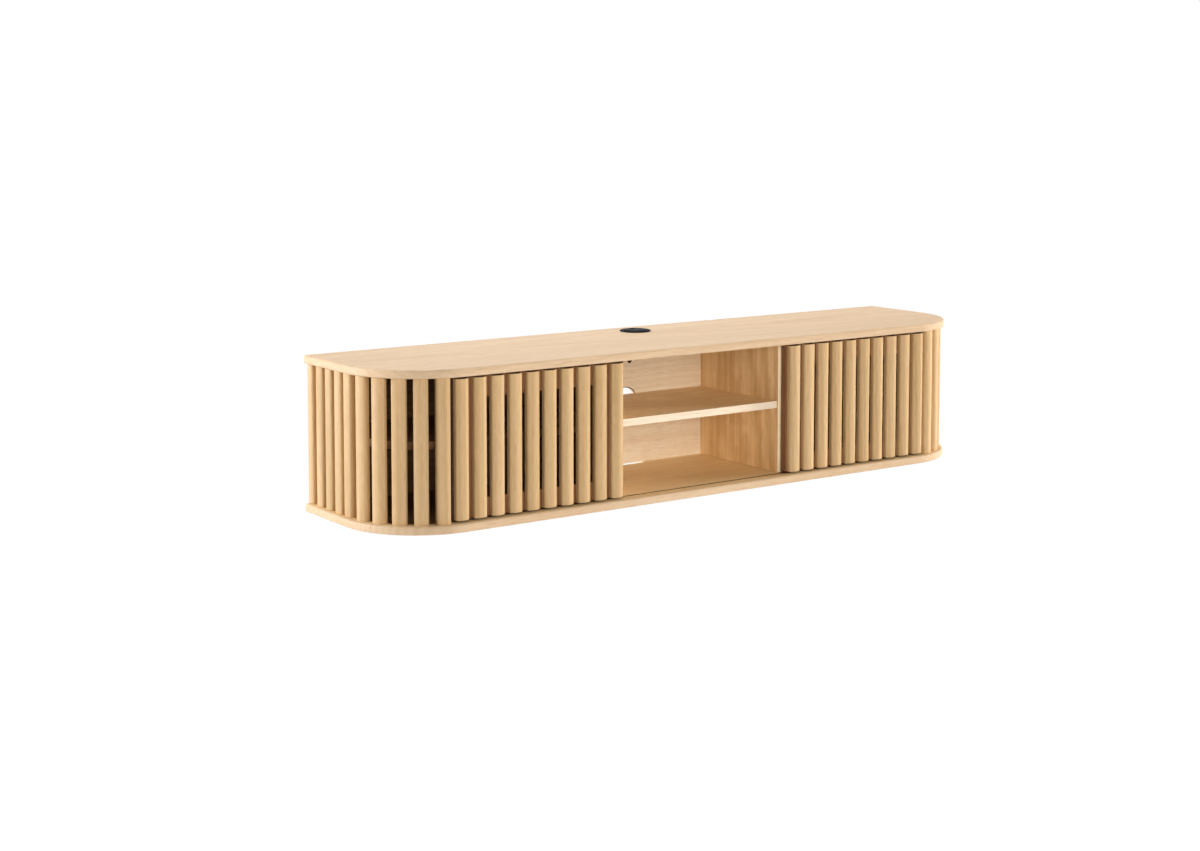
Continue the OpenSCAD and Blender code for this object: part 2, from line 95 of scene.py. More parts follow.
# Lengths in metres that tell points, edges and cuts apart
MERGE = 1e-6                  # doubled points of one solid
SEAM = 1e-5                   # doubled points where two shapes were joined
HAIR = 1e-4                   # points and faces on one line or level
SLACK = 0.0005                # faces within a cut
BORED = 0.003                 # edges shorter than this run round a bored hole

# Parts of a face's normal that lie along an axis
FLAT = 0.98                   # beyond it the face is flat across the axis
FACING = 0.9                  # beyond it the face looks along the axis
TURNED = 0.5                  # beyond it so does the near half of a rounding
ROUNDED = 0.3                 # beyond it so does all of a rounding
SIDEWAYS = 0.2                # below it the face runs along the axis


def linear(red, green, blue):
    """A colour seen on a screen, 0 to 255 a channel, as the light that a shader takes."""
    def channel(value):
        share = value / 255
        return share / 12.92 if share <= 0.04045 else ((share + 0.055) / 1.055) ** 2.4

    return (channel(red), channel(green), channel(blue))


# Sizes and colours that a user would change

def colour_setting(name, description, *channels):
    """A setting for a colour, with its default as it is seen on a screen."""
    return FloatVectorProperty(
        name=name, description=description, default=linear(*channels), subtype="COLOR")


def length_setting(name, description, metres):
    """A setting for a length."""
    return FloatProperty(name=name, description=description, default=metres, subtype="DISTANCE")


def angle_setting(name, description, degrees):
    """A setting for an angle."""
    return FloatProperty(
        name=name, description=description, default=math.radians(degrees), subtype="ANGLE")


class ViewSettings(bpy.types.PropertyGroup):
    azimuth: angle_setting("Azimuth", "Way round the console, from its front", -35.155)
    elevation: angle_setting("Elevation", "Height of the view above the horizon", 4.721)
    distance: length_setting("Distance", "Distance from the camera to its target", 4.2517)
    target: FloatVectorProperty(
        name="Target", description="Point that the camera looks at",
        default=(-0.17441, -0.178, 0.31615), subtype="TRANSLATION")
    lens: FloatProperty(
        name="Lens", description="Focal length of the lens", default=58.665, unit="CAMERA")
    sensor: FloatProperty(
        name="Sensor", description="Width of the sensor behind the lens", default=36,
        unit="CAMERA")
    shift: FloatProperty(
        name="Shift", description="Upward shift of the lens, as a share of the width",
        default=-0.1463)


class FinishSettings(bpy.types.PropertyGroup):
    oak_light: colour_setting("Oak", "Pale colour of the oak veneer", 218, 190, 157)
    oak_dark: colour_setting("Oak grain", "Darker colour of the oak's rings", 199, 167, 130)
    slat_light: colour_setting("Slat", "Pale colour of the slats", 207, 172, 127)
    slat_dark: colour_setting("Slat grain", "Darker colour in the slats", 185, 151, 104)
    # The inside, back panel and bay floor colours are paler than the outer oak: painted light that
    # makes up for the shade inside the open bay.
    inside_light: colour_setting(
        "Inside", "Pale colour of the dividers and shelves", 253, 220, 168)
    inside_dark: colour_setting(
        "Inside grain", "Darker colour of the dividers and shelves", 229, 188, 132)
    back_light: colour_setting("Back panel", "Pale colour of the back panel", 253, 237, 208)
    back_dark: colour_setting(
        "Back panel grain", "Darker colour of the back panel", 243, 220, 186)
    floor_light: colour_setting("Bay floor", "Pale colour of the bays' floor", 253, 227, 177)
    floor_dark: colour_setting(
        "Bay floor grain", "Darker colour of the bays' floor", 233, 197, 142)
    # Painted shade: darker oak for the faces inside the side compartments, standing in for the
    # little light that gets in past the doors and slats.
    shade_light: colour_setting(
        "Behind the doors", "Pale colour inside the side compartments", 142, 106, 70)
    shade_dark: colour_setting(
        "Grain behind the doors", "Darker colour inside the side compartments", 116, 82, 52)
    edging_light: colour_setting(
        "Shelf edging", "Pale colour of the edging on the centre shelf", 242, 224, 196)
    edging_dark: colour_setting(
        "Shelf edging grain", "Darker colour of the edging on the centre shelf", 232, 206, 178)
    # The uprights' edging is a pale edge band, made paler still as painted light on front edges
    # that the slats and door frames shade.
    lipping_light: colour_setting(
        "Upright edging", "Pale colour of the edging on the uprights", 255, 228, 188)
    lipping_dark: colour_setting(
        "Upright edging grain", "Darker colour of the edging on the uprights", 254, 226, 185)
    pore: colour_setting("Pores", "Colour of the pores in the oak", 150, 108, 68)
    # The door frames are darker than the oak: a darker wood, and painted shade for the frame seen
    # in the gaps between the slats.
    frame_light: colour_setting("Door frame", "Pale colour of the door frames", 128, 90, 58)
    frame_dark: colour_setting(
        "Door frame grain", "Darker colour of the door frames", 118, 80, 48)
    # Painted shade: near-black edges of the door frames, standing in for the dark gaps above and
    # below the doors and beside their outer stiles.
    painted_edge_shade_light: colour_setting("Edge shade", "Painted shade on the door frames' edges", 58, 40, 27)
    painted_edge_shade_dark: colour_setting("Edge shade grain", "Grain in the painted shade on the edges", 58, 40, 27)
    pine_light: colour_setting("Pine", "Pale colour of the hidden pine", 228, 198, 150)
    pine_dark: colour_setting("Pine grain", "Darker colour of the hidden pine", 200, 158, 104)
    # The raw core's colours are very dark: raw board, and painted shade for the grooves, the cable
    # hole's rim and the door slats' ends.
    fibre_light: colour_setting("Fibre", "Paler fibres of the bored board", 104, 74, 44)
    fibre_dark: colour_setting("Fibre grain", "Darker fibres of the bored board", 66, 42, 22)
    plastic_light: colour_setting("Worn plastic", "The grommet where it is worn", 30, 30, 34)
    plastic_dark: colour_setting("Plastic", "Colour of the grommet", 16, 16, 18)
    nylon_light: colour_setting("Worn nylon", "The door glides where they are worn", 64, 54, 46)
    nylon_dark: colour_setting("Nylon", "Colour of the door glides", 46, 38, 32)
    zinc_light: colour_setting("Zinc", "Colour of the cam locks and pins", 196, 198, 200)
    zinc_dark: colour_setting("Dull zinc", "Duller patches on the locks", 150, 152, 156)
    screw_light: colour_setting("Black steel", "Colour of the screws", 38, 36, 38)
    screw_dark: colour_setting("Dull black steel", "Duller patches on the screws", 22, 22, 24)
    ease: length_setting("Eased edge", "Rounding of the boards' sawn edges", 0.0006)


class SlatSettings(bpy.types.PropertyGroup):
    width: length_setting("Width", "Width of a slat", 0.030)
    depth: length_setting("Depth", "Depth of a slat", 0.016)
    shoulder: length_setting("Shoulder", "Rounding of a slat's shoulders", 0.006)
    bow: length_setting("Bow", "Radius of a slat's bowed front", 0.026)
    ease: length_setting("Eased end", "Rounding of a slat's ends", 0.0009)
    pitch: length_setting("Pitch", "Spacing of the slats round the corners", 0.04215)
    corner_radius: length_setting(
        "Corner radius", "Plan radius of the panels' front corners", 0.178)
    first_angle: angle_setting(
        "First angle", "Angle of the first corner slat from the front", 15)
    end_start: length_setting(
        "End start", "From the wall to the middle of the first end slat", 0.044)
    end_pitch: length_setting("End pitch", "Spacing of the slats on the ends", 0.0402)
    strip: length_setting("Closing strip", "Width of the strip beside the wall", 0.016)
    end_count: IntProperty(
        name="End slats", description="Number of slats on each end", default=4, min=1)
    corner_count: IntProperty(
        name="Corner slats", description="Number of slats round each corner", default=5, min=1)


class StudioSettings(bpy.types.PropertyGroup):
    floor_drop: length_setting(
        "Floor drop", "Height of the console's underside above the floor", 1.0)
    ambient: FloatProperty(
        name="Ambient", description="Strength of the light from all around", default=0.05,
        min=0, max=1, subtype="FACTOR")


class ConsoleSettings(bpy.types.PropertyGroup):
    view: PointerProperty(type=ViewSettings)
    finish: PointerProperty(type=FinishSettings)
    slat: PointerProperty(type=SlatSettings)
    studio: PointerProperty(type=StudioSettings)


def settings():
    return bpy.context.scene.console


# Materials

class Wire:
    """A socket in a node tree. Arithmetic on it adds Math nodes."""

    def __init__(self, paint, socket):
        self.paint = paint
        self.socket = socket

    def __add__(self, other):
        return self.paint.maths("ADD", self, other)

    def __sub__(self, other):
        return self.paint.maths("SUBTRACT", self, other)

    def __rsub__(self, other):
        return self.paint.maths("SUBTRACT", other, self)

    def __mul__(self, other):
        return self.paint.maths("MULTIPLY", self, other)

    __radd__ = __add__
    __rmul__ = __mul__


class Paint:
    """The nodes of a material or a world. All of them come from node()."""

    def __init__(self, holder):
        self.holder = holder
        holder.use_nodes = True
        self.tree = holder.node_tree
        self.tree.nodes.clear()

    def node(self, kind, setting=None, links=None, output=0):
        """A node with its settings, then its sockets' values or links, as one of its outputs."""
        made = self.tree.nodes.new(kind)
        for key, value in (setting or {}).items():
            if key == "stops":
                self.set_stops(made.color_ramp, value)
            else:
                setattr(made, key, value)
        for key, value in (links or {}).items():
            if isinstance(value, Wire):
                self.tree.links.new(value.socket, made.inputs[key])
            else:
                made.inputs[key].default_value = value
        return Wire(self, made.outputs[output]) if made.outputs else None

    @staticmethod
    def set_stops(ramp, stops):
        while len(ramp.elements) < len(stops):
            ramp.elements.new(1.0)
        for element, (position, value) in zip(ramp.elements, stops):
            element.position = position
            element.color = (value, value, value, 1.0)

    @cached_property
    def place(self):
        return self.node("ShaderNodeTexCoord", output="Object")

    def maths(self, operation, first, second=0):
        return self.node("ShaderNodeMath", {"operation": operation}, {0: first, 1: second})

    def ramp(self, value, *stops):
        """A value bent by straight runs between stops of (position, value)."""
        return self.node("ShaderNodeValToRGB", {"stops": stops}, {"Fac": value})

    def mix(self, share, first, second):
        """A colour between two others."""
        colours = [c if isinstance(c, Wire) else (*c, 1.0) for c in (first, second)]
        return self.node("ShaderNodeMix", {"data_type": "RGBA"},
                         {0: share, 6: colours[0], 7: colours[1]}, 2)

    def stretched(self, scale, at=(0, 0, 0), turn=(0, 0, 0)):
        return self.node("ShaderNodeMapping", links={
            "Vector": self.place, "Scale": scale, "Location": at, "Rotation": turn})

    def noise(self, place, scale=1.0, detail=2.0, roughness=0.5):
        return self.node("ShaderNodeTexNoise", links={
            "Vector": place, "Scale": scale, "Detail": detail, "Roughness": roughness})

    def streaks(self, grain, lengthwise, across, at=(0, 0, 0), **noise):
        """Noise with one scale along the grain's axis and another across it."""
        scale = tuple(lengthwise if axis == grain else across for axis in "XYZ")
        return self.noise(self.stretched(scale, at), **noise)

    def bump(self, height, strength, distance):
        return self.node("ShaderNodeBump", links={
            "Height": height, "Strength": strength, "Distance": distance})

    def painted_shade_behind_doors(self):
        """Mask of painted shade: 1 in the side compartments, inside the doors and slats, and 0
        elsewhere.
        """
        radius = settings().slat.corner_radius
        across, away = (
            self.node("ShaderNodeSeparateXYZ", links={"Vector": self.place}, output=axis)
            for axis in ("X", "Y"))
        across = self.maths("ABSOLUTE", across)
        past_x = self.maths("MAXIMUM", across - (CONSOLE_X - radius))
        past_y = self.maths("MAXIMUM", FRONT_Y + radius - away)
        reach = self.maths("SQRT", past_x * past_x + past_y * past_y)
        inside = self.maths("LESS_THAN", reach, SIDE_FACE_X - CONSOLE_X + radius)
        return inside * self.maths("GREATER_THAN", across, DIVIDER_X)

    def seen_directly(self):
        """1 for rays that see a surface straight, in a mirror or through glass."""
        straight, mirrored, through = (
            self.node("ShaderNodeLightPath", output=f"Is {kind} Ray")
            for kind in ("Camera", "Glossy", "Transmission"))
        return self.maths("MAXIMUM", self.maths("MAXIMUM", straight, mirrored), through)

    def surface(self, **sockets):
        """Ends a material with one Principled shader. Words in sockets use _ for a space."""
        links = {key.replace("_", " "): value for key, value in sockets.items()}
        return self.end("Material", self.node("ShaderNodeBsdfPrincipled", links=links))

    def end(self, kind, shader):
        self.node("ShaderNodeOutput" + kind, links={"Surface": shader})
        return self.holder


# How the growth rings' axis leans from the grain's, for each axis of the grain, in radians
RING_LEAN = {"X": (0, 0.03, 0.022), "Z": (0.03, 0.024, 0)}


def oak(name, light, dark, grain, strength=1.0, slat_tone=0.0, shine=0.4, relief=0.10,
        hidden=False):
    """Lacquered wood: drifting tone, growth rings cut at a slant, fibres and fine pores.

    strength is that of the rings and fibres, slat_tone that of the differences from slat to
    slat, and hidden paints shade over what lies behind the doors.
    """
    colours = settings().finish
    paint = Paint(bpy.data.materials.new(name))
    drift = paint.streaks(grain, lengthwise=1.1, across=9.0, detail=1.0)
    bent = paint.streaks(grain, lengthwise=1.6, across=7.0, at=(3.1, 1.7, 0.4))
    heart = paint.stretched((1, 1, 1), at=(0.21, 0.13, 0.17), turn=RING_LEAN[grain])
    rings = paint.node(
        "ShaderNodeTexWave",
        {"wave_type": "RINGS", "rings_direction": grain, "wave_profile": "SIN"},
        {"Vector": heart, "Scale": 26.0, "Distortion": bent * 5.0, "Detail": 1.5,
         "Detail Scale": 1.2}, "Fac")
    fibre = paint.streaks(grain, lengthwise=3.0, across=380.0, detail=3.0, roughness=0.6)
    band = paint.streaks(grain, lengthwise=0.9, across=75.0, at=(0.3, 0.9, 2.1))
    pores = paint.ramp(paint.streaks(grain, lengthwise=26.0, across=1300.0, detail=1.0),
                       (0.0, 1.0), (0.33, 1.0), (0.43, 0.0), (1.0, 0.0))
    own = paint.streaks(grain, lengthwise=0.4, across=24.0, at=(5.3, 2.9, 7.7), detail=0.0)
    tone = ((drift - 0.5) * 0.9 + (rings - 0.5) * 0.34 * strength + (fibre - 0.5) * 0.9 * strength
            + (band - 0.5) * 0.9 * strength + (own - 0.5) * slat_tone + 0.5)
    tone = paint.ramp(tone, (0.0, 0.0), (1.0, 1.0))    # held between 0 and 1
    colour = paint.mix(tone, light, dark)
    if hidden:
        # Painted shade: behind the doors the wood takes the darker painted-shade colours.
        colour = paint.mix(paint.painted_shade_behind_doors(), colour,
                           paint.mix(tone, colours.shade_light, colours.shade_dark))
    colour = paint.mix(pores * 0.30, colour, colours.pore)
    height = fibre * 0.5 + pores * -0.8 + rings * 0.2
    return paint.surface(Base_Color=colour, Roughness=0.52 + (fibre - 0.5) * 0.12 + pores * 0.08,
                         Normal=paint.bump(height, relief, distance=0.0004),
                         Specular_IOR_Level=shine)


def fibreboard(name, light, dark):
    """Raw edge of the board where it was cut: short brown fibres, dark enough to stand as painted
    shade too in the grooves, on the cable hole's rim and on the door slats' ends.
    """
    paint = Paint(bpy.data.materials.new(name))
    flake = paint.noise(paint.place, scale=900.0, detail=3.0, roughness=0.7)
    clump = paint.noise(paint.place, scale=160.0, detail=1.0)
    return paint.surface(Base_Color=paint.mix(flake * 0.6 + clump * 0.4, dark, light),
                         Roughness=0.85,
                         Normal=paint.bump(flake, strength=0.3, distance=0.0005))


def moulded(name, light, dark, roughness, shine=0.5):
    """Moulded plastic with a fine spark-eroded grain and faint cloudiness."""
    paint = Paint(bpy.data.materials.new(name))
    spark = paint.noise(paint.place, scale=2600.0)
    cloud = paint.noise(paint.place, scale=45.0)
    return paint.surface(Base_Color=paint.mix(cloud * 0.55 + spark * 0.25, dark, light),
                         Roughness=roughness + (cloud - 0.5) * 0.2,
                         Normal=paint.bump(spark, strength=0.16, distance=0.00015),
                         Specular_IOR_Level=shine)


def plated(name, light, dark, roughness):
    """Plated or blackened steel with drawn lines and duller patches."""
    paint = Paint(bpy.data.materials.new(name))
    drawn = paint.streaks("X", lengthwise=240.0, across=1800.0)
    patch = paint.noise(paint.place, scale=120.0, detail=3.0)
    return paint.surface(Base_Color=paint.mix(patch * 0.5 + drawn * 0.3, light, dark),
                         Metallic=0.92, Roughness=roughness + (patch - 0.5) * 0.25,
                         Normal=paint.bump(drawn, strength=0.08, distance=0.0001))


# Each finish: its maker, the settings that hold its two colours, and the maker's other values
FINISHES = {
    "oak_lengthwise": (oak, "oak", {"grain": "X", "strength": 0.8, "shine": 0.35}),
    # The back, upright, inside and floor finishes take the paler inside colours: painted light in
    # the bay.
    "oak_back": (oak, "back", {"grain": "X", "strength": 1.5}),
    "oak_upright": (oak, "inside", {"grain": "Z", "strength": 2.4}),
    "oak_inside": (oak, "inside", {"grain": "X"}),
    "oak_floor": (oak, "floor", {"grain": "X", "hidden": True}),
    # Painted shade inside the side compartments.
    "oak_shade": (oak, "shade", {"grain": "X", "shine": 0.2}),
    "oak_slat": (oak, "slat", {"grain": "Z", "strength": 1.1, "slat_tone": 0.9, "relief": 0.03}),
    "oak_edging": (oak, "edging", {"grain": "X", "strength": 0.5}),
    # Paler edging on the uprights, partly painted light.
    "edging_upright": (oak, "lipping", {"grain": "Z", "strength": 0.5}),
    # Door frames in darker oak, partly painted shade.
    "frame_stile": (oak, "frame", {"grain": "Z"}),
    "frame_rail": (oak, "frame", {"grain": "X"}),
    # Painted shade on the door frames past the slats.
    "frame_edge": (oak, "painted_edge_shade", {"grain": "X", "shine": 0.1}),
    "pine": (oak, "pine", {"grain": "X"}),
    # Dark raw core: real cut board and end grain, and painted shade.
    "end_grain": (fibreboard, "fibre", {}),
    "fibreboard": (fibreboard, "fibre", {}),
    "black_plastic": (moulded, "plastic", {"roughness": 0.5, "shine": 0.03}),
    "nylon": (moulded, "nylon", {"roughness": 0.45}),
    "bright_steel": (plated, "zinc", {"roughness": 0.35}),
    "black_steel": (plated, "screw", {"roughness": 0.42}),
}


def finish(name):
    """The finish of that name, made when it is first asked for."""
    title = f"console_{name}"
    if title not in bpy.data.materials:
        maker, colours, values = FINISHES[name]
        light, dark = (getattr(settings().finish, f"{colours}_{end}") for end in ("light", "dark"))
        maker(title, light, dark, **values)
    return bpy.data.materials[title]


# Handling of pieces

def take_up(*pieces):
    """Selects these pieces alone and makes the first one active."""
    bpy.ops.object.select_all(action="DESELECT")
    for piece in pieces:
        piece.select_set(True)
    bpy.context.view_layer.objects.active = pieces[0]


def edit(piece, action="DESELECT"):
    """Opens a piece for editing with nothing selected in it, or with all of it."""
    take_up(piece)
    bpy.ops.object.mode_set(mode="EDIT")
    bpy.ops.mesh.select_all(action=action)


def close():
    bpy.ops.object.mode_set(mode="OBJECT")


def select_edges(piece, wanted):
    """Opens a piece with the edges selected whose two ends pass wanted."""
    edit(piece)
    bpy.ops.mesh.select_mode(type="EDGE")
    close()
    points = [v.co for v in piece.data.vertices]
    for edge in piece.data.edges:
        edge.select = wanted(points[edge.vertices[0]], points[edge.vertices[1]])
    bpy.ops.object.mode_set(mode="EDIT")


def select_faces(piece, wanted):
    """Opens a piece with the faces selected whose middle and normal pass wanted."""
    edit(piece)
    bpy.ops.mesh.select_mode(type="FACE")
    close()
    for face in piece.data.polygons:
        face.select = wanted(face.center, face.normal)
    bpy.ops.object.mode_set(mode="EDIT")


def settle(piece):
    """Puts a piece's place and size into its mesh."""
    take_up(piece)
    bpy.ops.object.transform_apply(location=True, rotation=True, scale=True)
    return piece


def smooth(piece):
    """Smooths curves and roundings, and keeps the flats beside them flat."""
    take_up(piece)
    bpy.ops.object.shade_smooth_by_angle(angle=math.radians(35))
    flats = piece.modifiers.new("flats", "WEIGHTED_NORMAL")
    flats.weight = 100
    flats.keep_sharp = True
    bpy.ops.object.modifier_apply(modifier=flats.name)
    return piece


def bevel(width, segments):
    """Bevels the selected edges of the open piece, and closes it."""
    bpy.ops.mesh.bevel(offset=width, segments=segments, profile=0.5, affect="EDGES",
                       clamp_overlap=False)
    close()


def ease_edges(piece, width, segments=2, sharper_than=40, shortest=0.0):
    """Rounds the edges that turn by more than an angle, and smooths the piece.

    Edges shorter than shortest, such as those round a screw hole, stay sharp.
    """
    edit(piece)
    bpy.ops.mesh.select_mode(type="EDGE")
    bpy.ops.mesh.edges_select_sharp(sharpness=math.radians(sharper_than))
    close()
    points = [v.co for v in piece.data.vertices]
    chosen = [edge.index for edge in piece.data.edges if edge.select
              and (points[edge.vertices[0]] - points[edge.vertices[1]]).length >= shortest]
    edit(piece)    # drops the short ones from the selection
    close()
    for index in chosen:
        piece.data.edges[index].select = True
    bpy.ops.object.mode_set(mode="EDIT")
    bevel(width, segments)
    return smooth(piece)


def block(name, low, high):
    """A cuboid between two corners, ready to be shaped."""
    low, high = Vector(low), Vector(high)
    bpy.ops.object.select_all(action="DESELECT")
    bpy.ops.mesh.primitive_cube_add(size=1, location=(low + high) / 2)
    piece = bpy.context.object
    piece.name = name
    piece.scale = high - low
    return settle(piece)


def drum(name, centre, radius, height, sides=96):
    """A round upright bar, ready to be shaped."""
    bpy.ops.object.select_all(action="DESELECT")
    bpy.ops.mesh.primitive_cylinder_add(
        vertices=sides, radius=radius, depth=height, location=centre)
    piece = bpy.context.object
    piece.name = name
    return settle(piece)


def combine(piece, other, operation):
    """Cuts other out of a piece, or adds it, and throws other away."""
    cut = piece.modifiers.new("cut", "BOOLEAN")
    cut.operation = operation
    cut.solver = "EXACT"
    cut.object = other
    take_up(piece)
    bpy.ops.object.modifier_apply(modifier=cut.name)
    bpy.data.objects.remove(other)
    return piece


def saw_off(piece, point, outward, threshold=HAIR):
    """Throws away what lies beyond a plane, and closes the cut."""
    edit(piece, "SELECT")
    bpy.ops.mesh.bisect(plane_co=point, plane_no=outward, use_fill=True, clear_outer=True,
                        threshold=threshold)
    close()


def score(piece, axis, *places):
    """Parts a piece's faces across at each place along an axis, to tell the parts apart."""
    across = Vector((axis == "X", axis == "Y", axis == "Z"))
    for place in places:
        edit(piece, "SELECT")
        bpy.ops.mesh.bisect(plane_co=across * place, plane_no=across)
        close()
    return piece


def make_whole(piece, threshold, degrees):
    """Merges doubled points, and joins the faces that turn by less than an angle."""
    edit(piece, "SELECT")
    bpy.ops.mesh.remove_doubles(threshold=threshold)
    bpy.ops.mesh.dissolve_limited(angle_limit=math.radians(degrees))
    close()
    return piece


def copy_of(node):
    """A new piece with its own copy of a frame node's mesh, merged and with whole faces."""
    piece = bpy.data.objects.new(node + "_finished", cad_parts[node].data.copy())
    piece.data.materials.clear()
    bpy.context.scene.collection.objects.link(piece)
    take_up(piece)
    bpy.ops.mesh.customdata_custom_splitnormals_clear()
    return make_whole(piece, MERGE, degrees=0.5)


def dress(piece, body, material, slot, *nodes):
    """Gives a piece its finish and its body, and shows it in place of nodes."""
    piece.data.materials.clear()
    piece.data.materials.append(finish(material))
    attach(piece, body)
    if nodes:
        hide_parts(*nodes)
    return piece


def eased_copy(node, body, material, slot, width, shortest=0.0):
    """A node's own shape with eased edges, dressed and shown in the node's place."""
    piece = ease_edges(copy_of(node), width, shortest=shortest)
    return dress(piece, body, material, slot, node)


def face_with(piece, material, wanted):
    """Gives the faces that pass wanted another finish."""
    piece.data.materials.append(finish(material))
    index = len(piece.data.materials) - 1
    select_faces(piece, wanted)
    piece.active_material_index = index
    bpy.ops.object.material_slot_assign()
    close()
    return piece


# Panels

def on_outline(a, b, radius):
    """Tells whether an edge runs along a panel's outline."""
    middle = (a + b) / 2
    past_x = max(abs(middle.x) - (CONSOLE_X - radius), 0)
    past_y = max(FRONT_Y + radius - middle.y, 0)
    return math.hypot(past_x, past_y) > radius - HAIR


def round_ended_panel(name, low, high):
    """A board with two round front corners and rounded front and end edges."""
    radius = settings().slat.corner_radius
    piece = block(name, low, high)
    front = low.y + HAIR
    select_edges(piece, lambda a, b: a.y < front and b.y < front and abs(a.x - b.x) < HAIR
                 and abs(a.z - b.z) > HAIR)
    bevel(radius, segments=48)
    back = high.y - HAIR
    select_edges(piece, lambda a, b: abs(a.z - b.z) < HAIR and not (a.y > back and b.y > back)
                 and on_outline(a, b, radius))
    bevel(PANEL_RIM, segments=6)
    return piece


def groove_cutter(level, up):
    """A round-ended bar that cuts the door groove into the face at a level, up (1) or down
    (-1) into the board."""
    end_x = DOOR_HIGH.x + GROOVE_SPARE + GROOVE_WIDTH / 2
    low_z, high_z = sorted((level - up * OVERCUT, level + up * GROOVE_DEPTH))
    cutter = block("groove_cutter", (-end_x, DOOR_Y - GROOVE_WIDTH / 2, low_z),
                   (end_x, DOOR_Y + GROOVE_WIDTH / 2, high_z))
    select_edges(cutter, lambda a, b: abs(a.z - b.z) > HAIR)
    bevel(GROOVE_WIDTH / 2 * GROOVE_END, segments=8)
    return cutter


def grooved_panel(node, level, up, opening):
    """A round-ended panel with the door groove in its face at a level, and an opening."""
    panel = round_ended_panel(node + "_finished", *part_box(node))
    combine(panel, groove_cutter(level, up), "DIFFERENCE")
    combine(panel, opening, "DIFFERENCE")
    smooth(panel)
    return dress(panel, "case", "oak_lengthwise", "oak_panel", node)


def in_groove(level, up):
    """Tells the faces of the door groove that is cut into the face at a level."""
    end_x = DOOR_HIGH.x + GROOVE_SPARE + GROOVE_WIDTH / 2 + SLACK
    return lambda c, n: (abs(c.x) < end_x and abs(c.y - DOOR_Y) < GROOVE_WIDTH / 2 + SLACK
                         and HAIR < (c.z - level) * up < GROOVE_DEPTH + SLACK)


class CONSOLE_OT_panels(bpy.types.Operator):
    """Top and bottom panels with their door grooves, grommet hole and cable notch"""
    bl_idname = "console.panels"
    bl_label = "Top and bottom panels"

    def execute(self, context):
        sleeve_low, sleeve_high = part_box("grommet_sleeve")
        hole_y = ((sleeve_low + sleeve_high) / 2).y
        hole = drum("grommet_cutter", (0, hole_y, (TOP_LOW.z + TOP_HIGH.z) / 2), GROMMET_HOLE_R,
                    TOP_HIGH.z - TOP_LOW.z + 2 * OVERCUT)
        top = grooved_panel("top_panel", CEILING_Z, 1, hole)
        # The groove takes the dark raw core, partly as painted shade down the narrow groove.
        face_with(top, "fibreboard", in_groove(CEILING_Z, 1))
        notch = block("notch_cutter", (-NOTCH_X, NOTCH_Y, BOTTOM_LOW.z - OVERCUT),
                      (NOTCH_X, OVERCUT, FLOOR_Z + OVERCUT))
        bottom = grooved_panel("bottom_panel", FLOOR_Z, -1, notch)
        # The bay's floor: paler as painted light, with painted shade where it runs behind the
        # doors.
        face_with(bottom, "oak_floor",
                  lambda c, n: n.z > FACING and abs(c.z - FLOOR_Z) < HAIR)
        # The groove takes the dark raw core, partly as painted shade down the narrow groove.
        face_with(bottom, "fibreboard", in_groove(FLOOR_Z, -1))
        face_with(bottom, "oak_edging",
                  lambda c, n: abs(n.x) > FACING and abs(c.x) < NOTCH_X + OVERCUT)
        return {"FINISHED"}


def from_cable_hole(point):
    """How far a point is from the axis of the back panel's cable hole."""
    return math.hypot(point.x, point.z - (BOTTOM_LOW.z + TOP_HIGH.z) / 2)


class CONSOLE_OT_carcass(bpy.types.Operator):
    """Back panel, dividers and side panels"""
    bl_idname = "console.carcass"
    bl_label = "Back, dividers and sides"

    def execute(self, context):
        ease = settings().finish.ease
        # The back panel is parted at the dividers so that its faces inside the side compartments
        # can take painted shade.
        back = score(copy_of("back_panel"), "X", -DIVIDER_X, DIVIDER_X)
        front = min(v.co.y for v in back.data.vertices) + HAIR
        select_edges(back, lambda *ends: all(
            p.y < front and abs(from_cable_hole(p) - CABLE_HOLE_R) < SLACK for p in ends))
        bevel(CABLE_HOLE_BEVEL, segments=1)
        ease_edges(back, ease, shortest=BORED)
        dress(back, "case", "oak_back", "oak_panel", "back_panel")
        # Painted shade on the back panel's front face inside the side compartments.
        face_with(back, "oak_shade", lambda c, n: n.y < -FACING and abs(c.x) > DIVIDER_X)
        # The cable hole's chamfer takes the dark raw core, partly as painted shade for its dark
        # rim; its bore wall takes the pale edging, partly as a painted highlight where light comes
        # through.
        rim_r = CABLE_HOLE_R + CABLE_HOLE_BEVEL + SLACK
        face_with(back, "oak_edging",
                  lambda c, n: from_cable_hole(c) < rim_r and abs(n.y) < SIDEWAYS)
        face_with(back, "fibreboard",
                  lambda c, n: from_cable_hole(c) < rim_r and -FLAT < n.y < -SIDEWAYS)
        for side, way in SIDES.items():
            for part, hidden in (("divider", way), ("side_panel", -way)):
                board = eased_copy(f"{side}_{part}", "case", "oak_upright", "oak_panel", ease,
                                   BORED)
                # Pale edging on the uprights' front edges, partly painted light.
                face_with(board, "edging_upright", lambda c, n: n.y < -TURNED)
                # The side panels' outer faces take the darker slat oak, partly as painted shade in
                # the gaps between the end slats.
                if part == "side_panel":
                    face_with(board, "oak_slat", lambda c, n: n.x * way > TURNED)
                # Painted shade on the divider and side panel faces that look into the side
                # compartments.
                face_with(board, "oak_shade", lambda c, n: n.x * hidden > FACING)
        return {"FINISHED"}


